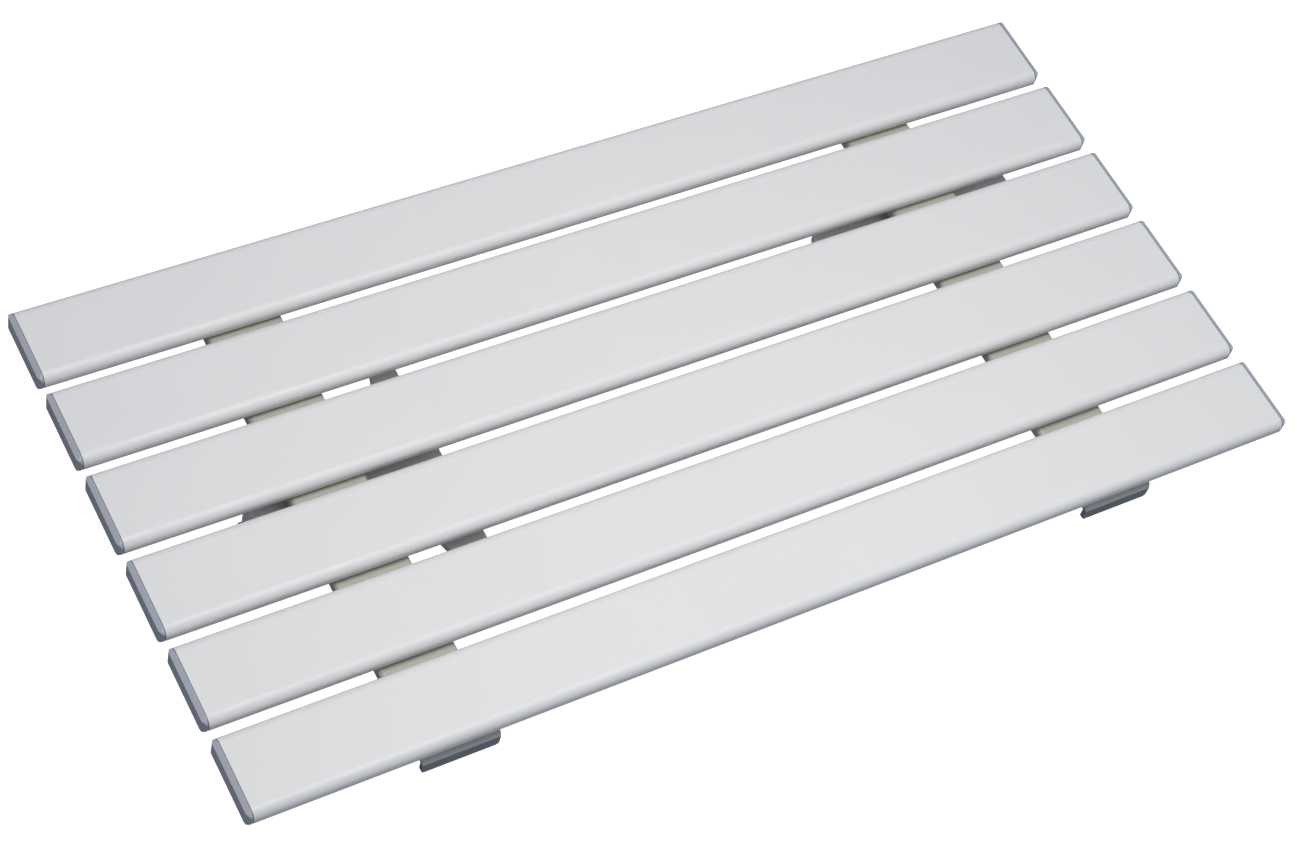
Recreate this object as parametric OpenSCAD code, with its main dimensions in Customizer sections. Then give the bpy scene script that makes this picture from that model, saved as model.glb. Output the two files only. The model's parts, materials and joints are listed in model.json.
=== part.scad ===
// Slatted bath board with three adjustable, clamped gripping sliders.
// +X runs along the slats, +Y towards the back slat, +Z up.
// The origin is the centre of the bounding box's bottom face, level with the lower ends of the legs.

/* [Board] */
// Length over the end caps
board_l = 684; // [670:1:760]
// Height from the legs' lower ends to the top of the slats
board_h = 65; // [63:0.5:75]

/* [Slats] */
// Width of one slat
slat_w = 51; // [48:0.5:56]
// Thickness of a slat
slat_t = 12.8; // [12:0.1:15]
// Open gap between neighbouring slats
slat_gap = 7.1; // [5:0.1:10]
// Radius of the slats' long edges
edge_r = 5.75; // [4:0.05:6]
// Wall of the hollow slats
slat_wall = 2; // [1.6:0.1:2.6]
// Thickness of the two inner webs that the screws bite into
web_t = 5; // [4.5:0.1:6]
// Distance of each web from the slat's centre line
web_y = 8.5; // [7.5:0.1:10]

/* [End caps] */
// Reach of a cap beyond the end of its slat
cap_reach = 3.8; // [3.5:0.1:6]
// Width of the shadow groove between slat and cap
cap_groove = 0.8; // [0.3:0.1:1]
// Depth of the shadow groove
cap_groove_depth = 0.8; // [0.5:0.1:1.8]
// Radius of a cap's outer corners, seen from above
cap_corner_r = 5; // [4.4:0.1:7]
// Length of the tongues that plug into the slat
tongue_l = 12; // [8:1:20]

/* [Cross bars] */
// Distance from the board's centre to the left bar's centre
left_bar_x = 216.5; // [205:0.5:225]
// Distance from the board's centre to the right bar's centre
right_bar_x = 220; // [205:0.5:225]
// Width of a bar
bar_w = 47; // [44:0.5:54]
// Height of a bar
bar_t = 8.3; // [8:0.1:10]
// Thickness of the caps on the bars' ends
bar_end_t = 3; // [2:0.5:4]
// How far the bars' end caps are set back from the outer slats' edges
bar_setback = 0.5; // [0:0.5:6]
// Height of the rubber strip under a bar
strip_t = 7.2; // [6:0.1:8]
// Width of the rubber strip
strip_w = 34; // [33:0.5:42]

/* [Sliders] */
// Thickness of the sliders' plates and legs
arm_t = 5; // [4:0.5:6]
// Width of the two right sliders
arm_w = 27; // [24:1:30]
// Distance of the two right sliders from the centre line
arm_y = 63; // [60:0.5:64]
// Inner end of the right sliders
arm_inner_x = 146.5; // [140:0.5:155]
// Outer face of the right sliders' legs
arm_outer_x = 294.5; // [290:0.5:296]
// Width of the left slider's stem
stem_w = 40; // [36:1:44]
// Outer face of the left slider's leg, left of the centre
stem_outer_x = 260; // [260:0.5:270]
// Inner edge of the left slider's crosspiece, left of the centre
head_inner_x = 141; // [136:1:145]
// Half the length of the left slider's crosspiece
head_half = 80; // [74:1:86]
// Travel of the left slider outwards
stem_out = 45; // [30:1:45]
// Travel of the left slider inwards
stem_in = 12; // [5:1:12]
// Travel of the right sliders, the same both ways
arm_travel = 40; // [30:1:40]

/* [Clamps] */
// Radius of the studs
stud_r = 2.95; // [2.9:0.01:2.98]
// Radius of the hand knobs over their lobes
knob_r = 16; // [14:0.5:16]
// Height of the hand knobs
knob_h = 15; // [12:1:16]
// Number of lobes on a knob
knob_lobes = 6; // [5:1:8]

/* [Hidden] */
$fn = 64;
slat_n = 6;
row_names = [for (i = [1:slat_n]) str(i)];
clamp_names = ["left", "right_back", "right_front"];

eps = 0.01;
gap = 0.3;
slat_pitch = slat_w + slat_gap;
slat_l = board_l - 2 * cap_reach;
depth = slat_n * slat_w + (slat_n - 1) * slat_gap;
slat_z = board_h - slat_t;
bar_z = slat_z - bar_t;
strip_z = bar_z - strip_t;
arm_z = strip_z - gap - arm_t;
washer_t = 1.6;
washer_z = arm_z - gap - washer_t;
knob_z = washer_z - gap - knob_h;
bar_l = depth - 2 * bar_setback - 2 * bar_end_t;

// Clamp axes in X and Y, in the order of clamp_names
clamp_at = [[-left_bar_x, 0], [right_bar_x, arm_y], [right_bar_x, -arm_y]];

// Holes
bore_r = 3;
slot_r = 3.3;
strip_hole_r = 4;
insert_r = 5;
insert_h = 7;
screw_r = 1.7;
pilot_r = 1.75;
screw_clear_r = 2.1;
screw_head_r = 3.6;
screw_head_h = 2.4;
head_pocket_r = 4;
head_pocket_h = 3;
screw_bite = 7;
screw_x = 12;

// Sockets in the bars' ends
socket_w = 24;
socket_h = 4;
socket_l = 8.5;

// Grips
grip_wall = 2.5;
grip_h = 14;
rib_h = 1.6;
rib_reach = 1;
rib_pitch = 4;
rib_n = 3;

function slat_y(i) = ((slat_n + 1) / 2 - i) * slat_pitch;

// Rectangle centred on the origin, with its own radius at the top and at the bottom corners
module round_rect(w, h, top_r, bottom_r) {
    difference() {
        square([w, h], center = true);
        for (s = [-1, 1]) {
            corner_cut(s * w / 2, h / 2, s, 1, top_r);
            corner_cut(s * w / 2, -h / 2, s, -1, bottom_r);
        }
    }
}

// What a rounded corner takes away from a square one at x, y, which points towards sx, sy
module corner_cut(x, y, sx, sy, r) {
    difference() {
        translate([x - sx * r / 2 + sx * eps / 2, y - sy * r / 2 + sy * eps / 2])
            square([r + eps, r + eps], center = true);
        translate([x - sx * r, y - sy * r]) circle(r);
    }
}

// Stands a profile drawn in Y and Z along +X for length l, centred on x = 0
module along_x(l) {
    translate([-l / 2, 0, 0]) rotate([90, 0, 90]) linear_extrude(l) children();
}

// Stands a profile drawn in X and Z along Y for length l, centred on y = 0
module along_y(l) {
    translate([0, l / 2, 0]) rotate([90, 0, 0]) linear_extrude(l) children();
}

// The three chambers of a hollow slat, smaller all round by clear
module chambers(clear) {
    inner_w = slat_w - 2 * slat_wall;
    inner_t = slat_t - 2 * slat_wall;
    middle_w = 2 * web_y - web_t;
    side_w = inner_w / 2 - web_y - web_t / 2;
    intersection() {
        round_rect(inner_w - 2 * clear, inner_t - 2 * clear, edge_r - slat_wall, edge_r - slat_wall);
        union() {
            square([middle_w - 2 * clear, inner_t], center = true);
            for (s = [-1, 1])
                translate([s * (inner_w - side_w) / 2, 0])
                    square([side_w - 2 * clear, inner_t], center = true);
        }
    }
}

// Where the screws of slat i stand on the bar at x; each slat has one each side of its centre line
function screw_spots(i) = let (side = sign(slat_y(i))) [
    [-screw_x, slat_y(i) - side * web_y],
    [screw_x, slat_y(i) + side * web_y]
];

module slat(i) {
    color("#d9dadd") difference() {
        translate([0, slat_y(i), slat_z + slat_t / 2]) along_x(slat_l) difference() {
            round_rect(slat_w, slat_t, edge_r, edge_r);
            chambers(0);
        }
        for (x = [-left_bar_x, right_bar_x], p = screw_spots(i))
            translate([x + sign(x) * p[0], p[1], slat_z - eps]) cylinder(r = pilot_r, h = screw_bite + eps);
    }
}

// A cap for the right end of slat i; side = -1 mirrors it for the left end
module cap(i, side) {
    neck_l = cap_groove + 0.3;
    top_x = cap_reach - 0.3;
    top_drop = 1.4;
    under_x = cap_reach - 1;
    under_rise = 1.5;
    neck_w = slat_w - 2 * cap_groove_depth;
    neck_t = slat_t - 2 * cap_groove_depth;
    color("#8b8e95") translate([0, slat_y(i), slat_z + slat_t / 2]) mirror([side < 0 ? 1 : 0, 0, 0])
    translate([slat_l / 2, 0, 0]) {
        intersection() {
            along_x(4 * cap_reach) round_rect(slat_w, slat_t, edge_r, edge_r);
            along_y(2 * slat_w) polygon([
                [cap_groove, -slat_t / 2 - eps],
                [under_x, -slat_t / 2 - eps],
                [cap_reach, under_rise - slat_t / 2],
                [top_x, slat_t / 2 - top_drop],
                [cap_groove, slat_t / 2 - top_drop * cap_groove / top_x]
            ]);
            translate([0, 0, -slat_t]) linear_extrude(2 * slat_t) difference() {
                translate([0, -slat_w]) square([cap_reach, 2 * slat_w]);
                for (s = [-1, 1]) corner_cut(cap_reach, s * slat_w / 2, 1, s, cap_corner_r);
            }
        }
        translate([neck_l / 2, 0, 0]) along_x(neck_l)
            round_rect(neck_w, neck_t, edge_r - cap_groove_depth, edge_r - cap_groove_depth);
        translate([-tongue_l / 2 + cap_groove, 0, 0]) along_x(tongue_l) chambers(0.2);
    }
}

// A cross bar with a socket in each end and pockets for the screws and for its clamps' inserts
module cross_bar(x, clamps) {
    color("#9a9a92") difference() {
        translate([x, 0, bar_z + bar_t / 2]) along_y(bar_l) round_rect(bar_w, bar_t, 3, 2);
        for (s = [-1, 1]) translate([x, s * (bar_l - socket_l + eps) / 2, bar_z + bar_t / 2])
            cube([socket_w, socket_l + eps, socket_h], center = true);
        for (i = [1:slat_n], p = screw_spots(i)) translate([x + sign(x) * p[0], p[1], bar_z - eps]) {
            cylinder(r = screw_clear_r, h = bar_t + 2 * eps);
            cylinder(r = head_pocket_r, h = head_pocket_h + eps);
        }
        for (c = clamps) translate([c[0], c[1], bar_z - eps]) cylinder(r = insert_r, h = insert_h + eps);
    }
}

// The cap on a bar's end, which also hides the strip's end; side = 1 at the back, -1 at the front
module bar_end(x, side) {
    clear = 0.2;
    bevel_in = bar_end_t - 0.4;
    bevel_down = 5.6;
    end_h = bar_t + strip_t - 1;
    end_z = slat_z - clear - end_h;
    color("#71757f") translate([x, side * bar_l / 2, 0]) mirror([0, side < 0 ? 1 : 0, 0]) {
        intersection() {
            translate([0, bar_end_t / 2, end_z + end_h / 2]) along_y(bar_end_t)
                round_rect(bar_w, end_h, 3, 2.5);
            translate([0, 0, end_z]) along_x(2 * bar_w) polygon([
                [0, 0],
                [bar_end_t, 0],
                [bar_end_t, end_h - bevel_down],
                [bar_end_t - bevel_in, end_h],
                [0, end_h]
            ]);
        }
        translate([0, (1 - socket_l + clear) / 2, bar_z + bar_t / 2])
            cube([socket_w - 2 * clear, socket_l - clear + 1, socket_h - 2 * clear], center = true);
    }
}

// A rubber strip with a waist under the bar, two grooves along its underside and a hole for each stud
module bar_strip(x, clamps) {
    waist_h = 1;
    waist_in = 1.2;
    groove_w = 3;
    groove_h = 1.2;
    color("#5d6068") difference() {
        translate([x, 0, strip_z]) along_y(bar_l) difference() {
            translate([0, strip_t / 2]) round_rect(strip_w, strip_t, 0.8, 1.6);
            for (s = [-1, 1])
                translate([s * strip_w / 2, strip_t - waist_h / 2])
                    square([2 * waist_in, waist_h + 2 * eps], center = true);
            for (s = [-1, 1])
                translate([s * strip_w / 4, 0]) square([groove_w, 2 * groove_h], center = true);
        }
        for (c = clamps)
            translate([c[0], c[1], strip_z - eps]) cylinder(r = strip_hole_r, h = strip_t + 2 * eps);
    }
}

// Twelve pan-head screws up through a bar into the slats' webs
module bar_screws(x) {
    color("#b9bcc0") for (i = [1:slat_n], p = screw_spots(i))
        translate([x + sign(x) * p[0], p[1], bar_z + head_pocket_h - screw_head_h]) difference() {
            union() {
                cylinder(r = screw_head_r, h = screw_head_h);
                cylinder(r = screw_r, h = slat_z + screw_bite - 1 - bar_z - head_pocket_h + screw_head_h);
            }
            for (a = [0, 90]) rotate([0, 0, a]) translate([-2, -0.4, -eps]) cube([4, 0.8, 1.4]);
        }
}

// Side view of a slider as an outline in X and Z: plate, round outer bend and leg, outer face at x = 0
module slider_side(inner_x) {
    bend_r = 5;
    leg_z = grip_wall;
    difference() {
        union() {
            translate([inner_x, arm_z]) square([-inner_x, arm_t]);
            translate([-arm_t, leg_z]) square([arm_t, arm_z + arm_t - leg_z]);
            translate([-arm_t, arm_z]) corner_fill(3);
        }
        corner_cut(0, arm_z + arm_t, 1, 1, bend_r);
    }
}

// Rounds the inner corner between a plate above and a leg to the right of the origin
module corner_fill(r) {
    difference() {
        translate([-r, -r]) square([r + eps, r + eps]);
        translate([-r, -r]) circle(r);
    }
}

// Two gussets under the bend, w apart
module gussets(w) {
    gusset_l = 8;
    gusset_t = 3;
    for (s = [-1, 1]) translate([-arm_t, s * w / 2, arm_z]) along_y(gusset_t)
        polygon([[eps, eps], [-gusset_l, eps], [eps, -gusset_l]]);
}

// Slot with round ends from x0 to x1, cut down through a plate
module slot(x0, x1) {
    translate([0, 0, arm_z - eps]) linear_extrude(arm_t + 2 * eps) {
        translate([x0, -slot_r]) square([x1 - x0, 2 * slot_r]);
        for (x = [x0, x1]) translate([x, 0]) circle(slot_r);
    }
}

// A right slider, with its slot long enough for the travel each way
module slider_right(y) {
    slot_spare = 0.5;
    near = right_bar_x - arm_travel - slot_spare;
    far = right_bar_x + arm_travel + slot_spare;
    tip_r = 6;
    color("#6a6c70") translate([0, y, 0]) difference() {
        translate([arm_outer_x, 0, 0]) union() {
            along_y(arm_w) slider_side(arm_inner_x - arm_outer_x);
            gussets(arm_w - 8);
        }
        slot(near, far);
        translate([0, 0, arm_z - eps]) linear_extrude(arm_t + 2 * eps)
            for (s = [-1, 1]) corner_cut(arm_inner_x, s * arm_w / 2, -1, s, tip_r);
    }
}

// The left slider: a stem like a right slider's, ending in a crosspiece that narrows towards its ends
module slider_left() {
    slot_spare = 0.5;
    near = -left_bar_x + stem_out + slot_spare;
    far = -left_bar_x - stem_in - slot_spare;
    shoulder_x = -173;
    tip_x = -155;
    tip_r = 7;
    color("#6a6c70") difference() {
        union() {
            translate([-stem_outer_x, 0, 0]) mirror([1, 0, 0]) {
                along_y(stem_w) slider_side(head_inner_x + 1 - stem_outer_x);
                gussets(stem_w - 10);
            }
            translate([0, 0, arm_z]) linear_extrude(arm_t) difference() {
                polygon([
                    [-head_inner_x, -head_half],
                    [-head_inner_x, head_half],
                    [tip_x, head_half],
                    [shoulder_x, stem_w / 2 - 1],
                    [shoulder_x, 1 - stem_w / 2],
                    [tip_x, -head_half]
                ]);
                for (s = [-1, 1]) {
                    corner_cut(-head_inner_x, s * head_half, 1, s, tip_r);
                    corner_cut(tip_x, s * head_half, -1, s, tip_r / 2);
                }
            }
        }
        slot(far, near);
    }
}

// A rubber boot over a leg of width w, its outer face ribbed; outer face of the leg at x = 0
module grip(w) {
    outer_w = w + 2 * grip_wall;
    outer_t = arm_t + 2 * grip_wall;
    mid_x = -arm_t / 2;
    difference() {
        union() {
            translate([mid_x, 0, 0]) linear_extrude(grip_h)
                round_rect(outer_t, outer_w, grip_wall, grip_wall);
            for (k = [0:rib_n - 1])
                translate([0, -outer_w / 2 + 3, 3 + k * rib_pitch])
                    cube([grip_wall + rib_reach, outer_w - 6, rib_h]);
        }
        translate([-arm_t, -w / 2, grip_wall]) cube([arm_t, w, grip_h]);
    }
}

module grip_right(y) {
    color("#3c3d41") translate([arm_outer_x, y, 0]) grip(arm_w);
}

module grip_left() {
    color("#3c3d41") translate([-stem_outer_x, 0, 0]) mirror([1, 0, 0]) grip(stem_w);
}

// Brass insert with a knurl relief, open below and above
module insert(at) {
    relief_h = 1.5;
    color("#c8a64e") translate([at[0], at[1], bar_z]) difference() {
        cylinder(r = insert_r, h = insert_h);
        translate([0, 0, -eps]) cylinder(r = bore_r, h = insert_h + 2 * eps);
        translate([0, 0, (insert_h - relief_h) / 2]) difference() {
            cylinder(r = insert_r + 1, h = relief_h);
            translate([0, 0, -eps]) cylinder(r = insert_r - 0.6, h = relief_h + 2 * eps);
        }
    }
}

// Steel stud from inside the knob up into the insert, chamfered at the top
module stud(at) {
    tip = 0.8;
    bottom = knob_z + 4;
    top = bar_z + insert_h - 0.6;
    color("#b9bcc0") translate([at[0], at[1], bottom]) {
        cylinder(r = stud_r, h = top - tip - bottom);
        translate([0, 0, top - tip - bottom]) cylinder(r1 = stud_r, r2 = stud_r - tip, h = tip);
    }
}

module washer(at) {
    washer_r = 9;
    washer_bore_r = 3.25;
    color("#b9bcc0") translate([at[0], at[1], washer_z]) difference() {
        cylinder(r = washer_r, h = washer_t);
        translate([0, 0, -eps]) cylinder(r = washer_bore_r, h = washer_t + 2 * eps);
    }
}

// Lobed hand knob with a boss towards the washer, the stud set in it and a shallow dish below
module knob(at) {
    boss_r = 9;
    boss_h = 3;
    hub_r = 12.5;
    lobe_r = 4;
    dish_r = 7;
    dish_h = 1;
    lobed_h = knob_h - boss_h;
    color("#2f3033") translate([at[0], at[1], knob_z]) difference() {
        union() {
            cylinder(r = boss_r, h = knob_h);
            linear_extrude(lobed_h) {
                circle(hub_r);
                for (k = [0:knob_lobes - 1]) rotate(k * 360 / knob_lobes)
                    translate([knob_r - lobe_r, 0]) rotate(180) circle(lobe_r);
            }
        }
        translate([0, 0, 4]) cylinder(r = bore_r, h = knob_h);
        translate([0, 0, -eps]) cylinder(r = dish_r, h = dish_h + eps);
    }
}

for (i = [1:slat_n]) {
    slat(i);
    cap(i, -1);
    cap(i, 1);
}
cross_bar(-left_bar_x, [clamp_at[0]]);  // cross_bar_left
cross_bar(right_bar_x, [clamp_at[1], clamp_at[2]]);  // cross_bar_right
bar_strip(-left_bar_x, [clamp_at[0]]);  // bar_strip_left
bar_strip(right_bar_x, [clamp_at[1], clamp_at[2]]);  // bar_strip_right
bar_end(-left_bar_x, 1);  // bar_end_left_back
bar_end(-left_bar_x, -1);  // bar_end_left_front
bar_end(right_bar_x, 1);  // bar_end_right_back
bar_end(right_bar_x, -1);  // bar_end_right_front
bar_screws(-left_bar_x);  // bar_screws_left
bar_screws(right_bar_x);  // bar_screws_right
slider_left();
slider_right(arm_y);  // slider_right_back
slider_right(-arm_y);  // slider_right_front
grip_left();
grip_right(arm_y);  // grip_right_back
grip_right(-arm_y);  // grip_right_front
for (c = [0:2]) {
    insert(clamp_at[c]);
    stud(clamp_at[c]);
    washer(clamp_at[c]);
    knob(clamp_at[c]);
}
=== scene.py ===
import json
import math

import bpy
from mathutils import Matrix, Vector


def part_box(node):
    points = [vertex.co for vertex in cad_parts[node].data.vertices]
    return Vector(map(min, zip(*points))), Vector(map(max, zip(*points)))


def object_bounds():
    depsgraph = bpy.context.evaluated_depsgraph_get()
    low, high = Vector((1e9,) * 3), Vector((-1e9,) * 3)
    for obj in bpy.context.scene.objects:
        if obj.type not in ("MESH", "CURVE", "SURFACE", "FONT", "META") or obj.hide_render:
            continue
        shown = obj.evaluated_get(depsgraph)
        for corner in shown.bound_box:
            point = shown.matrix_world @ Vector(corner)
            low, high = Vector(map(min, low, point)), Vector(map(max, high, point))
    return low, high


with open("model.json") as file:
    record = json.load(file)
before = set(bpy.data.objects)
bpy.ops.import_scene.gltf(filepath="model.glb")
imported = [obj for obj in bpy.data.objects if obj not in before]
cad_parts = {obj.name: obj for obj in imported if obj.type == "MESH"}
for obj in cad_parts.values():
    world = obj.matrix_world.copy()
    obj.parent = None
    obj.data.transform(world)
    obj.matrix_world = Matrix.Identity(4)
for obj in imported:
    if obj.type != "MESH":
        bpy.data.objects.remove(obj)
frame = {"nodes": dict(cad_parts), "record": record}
cad_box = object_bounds()
nodes = frame["nodes"]
MM = 0.001


# ---------------------------------------------------------------- camera
# The camera looks down over the board's front left corner and is rolled anticlockwise.
# It aims a little left and front of the middle of the slats' tops. Angles are in degrees.
CAMERA_AZIMUTH = -43.15
CAMERA_ELEVATION = 54.47
CAMERA_ROLL = 18.42
CAMERA_DISTANCE = 1649.4 * MM
CAMERA_LENS = 78.24
SENSOR_WIDTH = 36
NEAREST_SEEN = 50 * MM
AIM_LEFT = 26.25 * MM
AIM_FRONT = 31.4 * MM


def make_camera():
    low, high = cad_box
    centre = (low + high) / 2
    aim = Vector((centre.x - AIM_LEFT, centre.y - AIM_FRONT, high.z))
    azimuth, elevation = math.radians(CAMERA_AZIMUTH), math.radians(CAMERA_ELEVATION)
    back = Vector((
        math.sin(azimuth) * math.cos(elevation),
        -math.cos(azimuth) * math.cos(elevation),
        math.sin(elevation),
    ))
    turn = back.to_track_quat("Z", "Y").to_matrix().to_4x4()
    roll = Matrix.Rotation(math.radians(CAMERA_ROLL), 4, "Z")
    data = bpy.data.cameras.new("camera")
    data.lens = CAMERA_LENS
    data.sensor_width = SENSOR_WIDTH
    data.clip_start = NEAREST_SEEN
    camera = bpy.data.objects.new("camera", data)
    camera.matrix_world = Matrix.Translation(aim + back * CAMERA_DISTANCE) @ turn @ roll
    bpy.context.scene.collection.objects.link(camera)
    bpy.context.scene.camera = camera


# ---------------------------------------------------------------- stage
FLOOR_REACH = 30
FLOOR_DROP = 0.5 * MM
FLOOR_COLOUR = (0.34, 0.36, 0.40, 1)
FLOOR_GLOW = 1.1
SKY_COLOUR = (0.74, 0.86, 1, 1)
SKY_STRENGTH = 0.26
WHITE = (1, 1, 1, 1)
# Area lights: name, place, point aimed at, sides, power and colour, in metres and watts.
LIGHTS = (
    ("key", (0.40, -0.48, 2.3), (0, 0, 0.05), (1.3, 1.2), 20, (1, 0.985, 0.96)),
    ("pool", (-0.04, -0.12, 1.05), (-0.04, -0.08, 0.05), (0.4, 0.4), 4.4, (1, 0.98, 0.95)),
    ("under", (0, 0, -1.3), (0, 0, 0.05), (1.6, 1.2), 5, (1, 0.99, 0.98)),
)


def floor_material():
    """Looks white to the camera, lights the board as a dull floor would, and can't be seen from below."""
    material = bpy.data.materials.new("pale_floor")
    material.use_nodes = True
    tree = material.node_tree
    link = tree.links.new
    tree.nodes.clear()
    out = tree.nodes.new("ShaderNodeOutputMaterial")
    glow = tree.nodes.new("ShaderNodeEmission")
    glow.inputs["Color"].default_value = WHITE
    glow.inputs["Strength"].default_value = FLOOR_GLOW
    diffuse = tree.nodes.new("ShaderNodeBsdfDiffuse")
    diffuse.inputs["Color"].default_value = FLOOR_COLOUR
    seen = tree.nodes.new("ShaderNodeAddShader")
    link(glow.outputs[0], seen.inputs[0])
    link(diffuse.outputs[0], seen.inputs[1])
    path = tree.nodes.new("ShaderNodeLightPath")
    by_ray = tree.nodes.new("ShaderNodeMixShader")
    link(path.outputs["Is Camera Ray"], by_ray.inputs["Fac"])
    link(diffuse.outputs[0], by_ray.inputs[1])
    link(seen.outputs[0], by_ray.inputs[2])
    geometry = tree.nodes.new("ShaderNodeNewGeometry")
    clear = tree.nodes.new("ShaderNodeBsdfTransparent")
    side = tree.nodes.new("ShaderNodeMixShader")
    link(geometry.outputs["Backfacing"], side.inputs["Fac"])
    link(by_ray.outputs[0], side.inputs[1])
    link(clear.outputs[0], side.inputs[2])
    link(side.outputs[0], out.inputs["Surface"])
    return material


def make_floor():
    """A floor just under the board. It casts no shadow, so the light from below reaches the underside."""
    reach = FLOOR_REACH
    corners = [(-reach, -reach, 0), (reach, -reach, 0), (reach, reach, 0), (-reach, reach, 0)]
    mesh = bpy.data.meshes.new("floor")
    mesh.from_pydata(corners, [], [(0, 1, 2, 3)])
    mesh.materials.append(floor_material())
    floor = bpy.data.objects.new("floor", mesh)
    floor.location.z = cad_box[0].z - FLOOR_DROP
    floor.visible_shadow = False
    bpy.context.scene.collection.objects.link(floor)


def make_light(name, place, aim, sides, power, colour):
    data = bpy.data.lights.new(name, "AREA")
    data.shape = "RECTANGLE"
    data.size, data.size_y = sides
    data.energy = power
    data.color = colour
    light = bpy.data.objects.new(name, data)
    light.location = place
    light.rotation_euler = (Vector(place) - Vector(aim)).to_track_quat("Z", "Y").to_euler()
    light.visible_camera = False
    bpy.context.scene.collection.objects.link(light)


def make_world():
    """A faint blue sky for the light, and a white backdrop for the camera."""
    world = bpy.data.worlds.new("studio")
    world.use_nodes = True
    tree = world.node_tree
    link = tree.links.new
    sky = tree.nodes["Background"]
    sky.inputs["Color"].default_value = SKY_COLOUR
    sky.inputs["Strength"].default_value = SKY_STRENGTH
    backdrop = tree.nodes.new("ShaderNodeBackground")
    backdrop.inputs["Color"].default_value = WHITE
    path = tree.nodes.new("ShaderNodeLightPath")
    by_ray = tree.nodes.new("ShaderNodeMixShader")
    link(path.outputs["Is Camera Ray"], by_ray.inputs["Fac"])
    link(sky.outputs[0], by_ray.inputs[1])
    link(backdrop.outputs[0], by_ray.inputs[2])
    link(by_ray.outputs[0], tree.nodes["World Output"].inputs["Surface"])
    bpy.context.scene.world = world
    bpy.context.scene.view_settings.view_transform = "Standard"


# ---------------------------------------------------------------- materials
# Each noise is (scale per metre, detail).
CLOUD = (9, 4)
SHEEN = (35, 3)
STREAKS = (220, 2)
FINE_DETAIL = 2
GRAINS_PER_SPECK = 3
STREAK_STRETCH = (0.01, 1, 1)
NOISE_LOW, NOISE_HIGH = 0.3, 0.7
CLOUD_SHARE = 0.6
SHEEN_SPREAD = 0.06
BUMP_STRENGTH = 0.5
METAL_MOTTLE = 0.06
SPLIT_BLUR = 0.2 * MM

# Grain is the size of the surface's finest bumps, relief their height, streak the height of extrusion lines.
PLASTICS = {
    "slat_plastic": dict(
        colour=(0.785, 0.775, 0.778), roughness=0.48, grain=0.6 * MM, relief=0.04 * MM,
        mottle=0.012, streak=0.03 * MM, gloss=0.36,
    ),
    "cap_plastic": dict(colour=(0.43, 0.455, 0.52), roughness=0.48, grain=0.6 * MM, relief=0.05 * MM),
    "bar_end_plastic": dict(colour=(0.52, 0.50, 0.48), roughness=0.48, grain=0.6 * MM, relief=0.05 * MM),
    "bar_plastic": dict(colour=(0.45, 0.44, 0.385), roughness=0.42, grain=0.7 * MM, relief=0.06 * MM),
    "strip_rubber": dict(
        colour=(0.11, 0.115, 0.13), roughness=0.7, grain=0.5 * MM, relief=0.06 * MM, mottle=0.06,
    ),
    "slider_plastic": dict(
        colour=(0.74, 0.71, 0.70), roughness=0.5, grain=0.8 * MM, relief=0.08 * MM, mottle=0.05,
    ),
    "grip_rubber": dict(
        colour=(0.06, 0.06, 0.064), roughness=0.75, grain=0.5 * MM, relief=0.06 * MM, mottle=0.08,
    ),
    "knob_plastic": dict(
        colour=(0.05, 0.05, 0.054), roughness=0.45, grain=0.7 * MM, relief=0.08 * MM, mottle=0.08,
    ),
}
METALS = {
    "clamp_steel": dict(colour=(0.62, 0.63, 0.64), roughness=0.32, grain=0.9 * MM, relief=0.02 * MM),
    "screw_steel": dict(colour=(0.62, 0.63, 0.64), roughness=0.35, grain=0.9 * MM, relief=0.02 * MM),
    "insert_brass": dict(colour=(0.72, 0.52, 0.22), roughness=0.3, grain=0.9 * MM, relief=0.02 * MM),
}
# The caps on the bars' ends are darker and bluer from this far under their tops: partly the strip's own
# darker colour, partly painted shade under the slats.
BAR_END_UPPER_BAND = 5.6 * MM
BAR_END_LOWER_TONE_AND_SHADE = (0.17, 0.19, 0.24)


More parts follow.
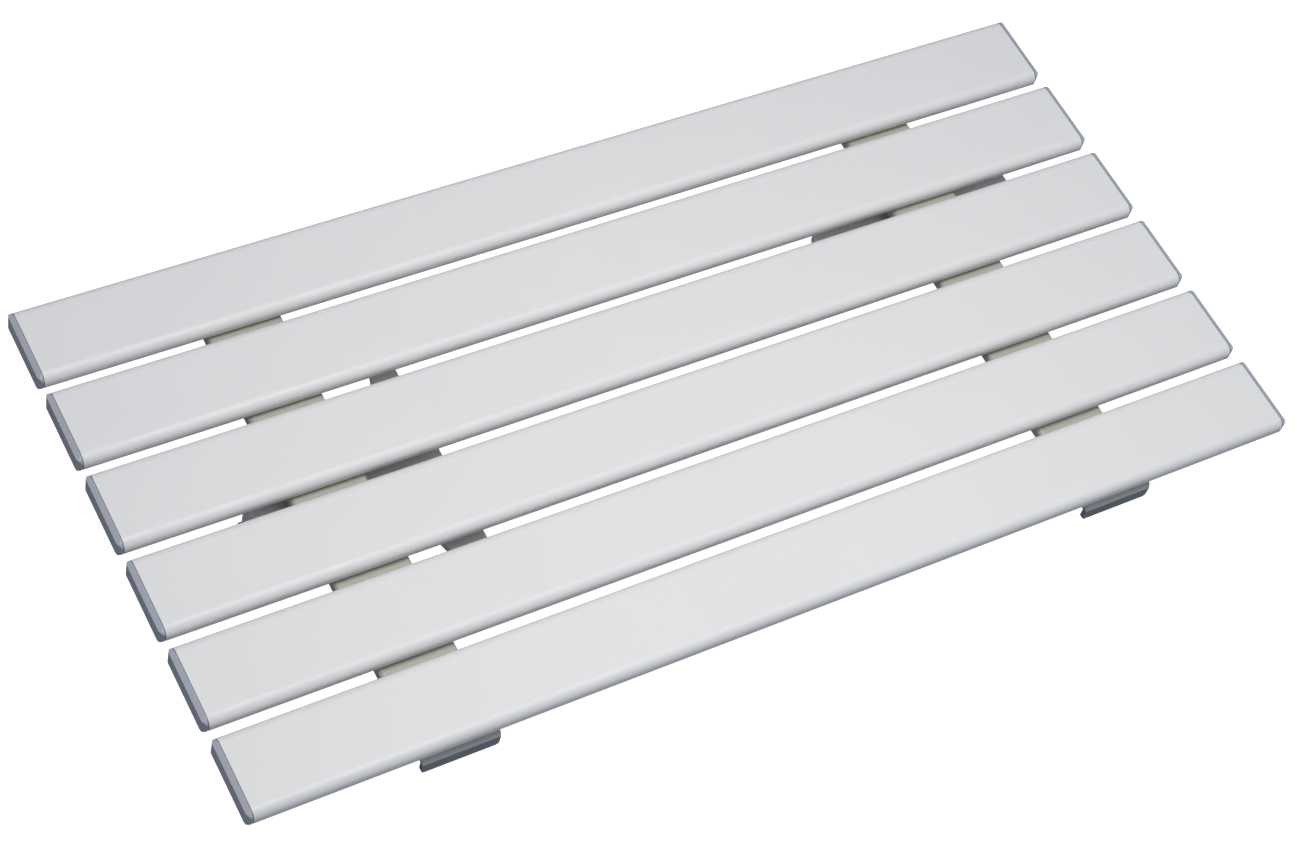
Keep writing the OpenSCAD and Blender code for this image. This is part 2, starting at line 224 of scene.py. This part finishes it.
def plastic(name, colour, roughness, grain, relief, mottle=0.03, streak=0, gloss=0.5):
    """Moulded plastic or rubber: fine grain, uneven sheen, faint mottle, and streaks along X if extruded."""
    material = bpy.data.materials.new(name)
    material.use_nodes = True
    tree = material.node_tree
    link = tree.links.new
    shader = tree.nodes["Principled BSDF"]
    shader.inputs["Specular IOR Level"].default_value = gloss
    where = tree.nodes.new("ShaderNodeTexCoord")

    def noise(scale, detail, stretch=(1, 1, 1)):
        mapping = tree.nodes.new("ShaderNodeMapping")
        mapping.inputs["Scale"].default_value = stretch
        texture = tree.nodes.new("ShaderNodeTexNoise")
        texture.inputs["Scale"].default_value = scale
        texture.inputs["Detail"].default_value = detail
        link(where.outputs["Object"], mapping.inputs["Vector"])
        link(mapping.outputs["Vector"], texture.inputs["Vector"])
        return texture.outputs["Fac"]

    def spread(value, low, high):
        ramp = tree.nodes.new("ShaderNodeMapRange")
        ramp.inputs["From Min"].default_value = NOISE_LOW
        ramp.inputs["From Max"].default_value = NOISE_HIGH
        ramp.inputs["To Min"].default_value = low
        ramp.inputs["To Max"].default_value = high
        link(value, ramp.inputs["Value"])
        return ramp.outputs["Result"]

    def bump(height, distance):
        node = tree.nodes.new("ShaderNodeBump")
        node.inputs["Distance"].default_value = distance
        node.inputs["Strength"].default_value = BUMP_STRENGTH
        link(height, node.inputs["Height"])
        return node

    cloud = spread(noise(*CLOUD), 0, 1)
    speck = spread(noise(1 / (GRAINS_PER_SPECK * grain), FINE_DETAIL), 0, 1 - CLOUD_SHARE)
    both = tree.nodes.new("ShaderNodeMath")
    both.operation = "MULTIPLY_ADD"
    both.inputs[1].default_value = CLOUD_SHARE
    link(cloud, both.inputs[0])
    link(speck, both.inputs[2])
    tone = tree.nodes.new("ShaderNodeMix")
    tone.data_type = "RGBA"
    tone.inputs["A"].default_value = (*(c * (1 - mottle) for c in colour), 1)
    tone.inputs["B"].default_value = (*(c * (1 + mottle) for c in colour), 1)
    link(both.outputs[0], tone.inputs["Factor"])
    link(tone.outputs["Result"], shader.inputs["Base Color"])
    sheen = spread(noise(*SHEEN), roughness - SHEEN_SPREAD, roughness + SHEEN_SPREAD)
    link(sheen, shader.inputs["Roughness"])
    grained = bump(noise(1 / grain, FINE_DETAIL), relief)
    if streak:
        lines = bump(noise(*STREAKS, STREAK_STRETCH), streak)
        link(lines.outputs["Normal"], grained.inputs["Normal"])
    link(grained.outputs["Normal"], shader.inputs["Normal"])
    return material


def metal(name, **look):
    material = plastic(name, mottle=METAL_MOTTLE, **look)
    material.node_tree.nodes["Principled BSDF"].inputs["Metallic"].default_value = 1
    return material


def two_tone_and_shade_below(material, height, colour):
    """Paints a darker colour below a height: partly a two-shot moulding's second colour, partly painted
    shade.
    """
    tree = material.node_tree
    link = tree.links.new
    shader = tree.nodes["Principled BSDF"]
    upper = shader.inputs["Base Color"].links[0].from_socket
    where = tree.nodes.new("ShaderNodeTexCoord")
    split = tree.nodes.new("ShaderNodeSeparateXYZ")
    step = tree.nodes.new("ShaderNodeMapRange")
    step.inputs["From Min"].default_value = height - SPLIT_BLUR
    step.inputs["From Max"].default_value = height + SPLIT_BLUR
    tone = tree.nodes.new("ShaderNodeMix")
    tone.data_type = "RGBA"
    tone.inputs["A"].default_value = (*colour, 1)
    link(where.outputs["Object"], split.inputs["Vector"])
    link(split.outputs["Z"], step.inputs["Value"])
    link(step.outputs["Result"], tone.inputs["Factor"])
    link(upper, tone.inputs["B"])
    link(tone.outputs["Result"], shader.inputs["Base Color"])


# ---------------------------------------------------------------- CAD nodes
# Width of the rounding on the edges of the nodes whose names start so. The knobs aren't rounded, because
# dissolving and bevelling them breaks the face around their dish.
EDGE_WIDTH = {
    "cap_": 0.35 * MM,
    "cross_bar_": 0.6 * MM,
    "bar_strip_": 0.25 * MM,
    "bar_end_": 0.18 * MM,
    "slider_": 0.4 * MM,
    "grip_": 0.3 * MM,
    "washer_": 0.2 * MM,
}
EDGE_SEGMENTS = 3
SHARP_ANGLE = math.radians(32)
FLAT_ANGLE = math.radians(0.3)
SAME_POINT = 0.01 * MM


def finish_node(node, finishes):
    slot = next(s["material_slot"] for s in frame["record"]["subparts"] if s["node"] == node)
    nodes[node].data.materials.clear()
    nodes[node].data.materials.append(finishes[slot])


def soften(node, width):
    """Rounds a CAD node's sharp edges a little, as moulded and turned parts have them."""
    weld = nodes[node].modifiers.new("weld", "WELD")
    weld.merge_threshold = SAME_POINT
    flat = nodes[node].modifiers.new("flat", "DECIMATE")
    flat.decimate_type = "DISSOLVE"
    flat.angle_limit = FLAT_ANGLE
    bevel = nodes[node].modifiers.new("bevel", "BEVEL")
    bevel.width = width
    bevel.segments = EDGE_SEGMENTS
    bevel.limit_method = "ANGLE"
    bevel.angle_limit = SHARP_ANGLE
    bevel.harden_normals = True
    bevel.use_clamp_overlap = True


finishes = {slot: plastic(slot, **look) for slot, look in PLASTICS.items()}
finishes.update({slot: metal(slot, **look) for slot, look in METALS.items()})
# The bar ends' lower band: partly their own darker moulded colour, partly painted shade under the slats.
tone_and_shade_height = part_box("bar_end_left_front")[1].z - BAR_END_UPPER_BAND
two_tone_and_shade_below(finishes["bar_end_plastic"], tone_and_shade_height, BAR_END_LOWER_TONE_AND_SHADE)
for node in nodes:
    finish_node(node, finishes)
    for start, width in EDGE_WIDTH.items():
        if node.startswith(start):
            soften(node, width)

make_camera()
make_floor()
make_world()
for light in LIGHTS:
    make_light(*light)
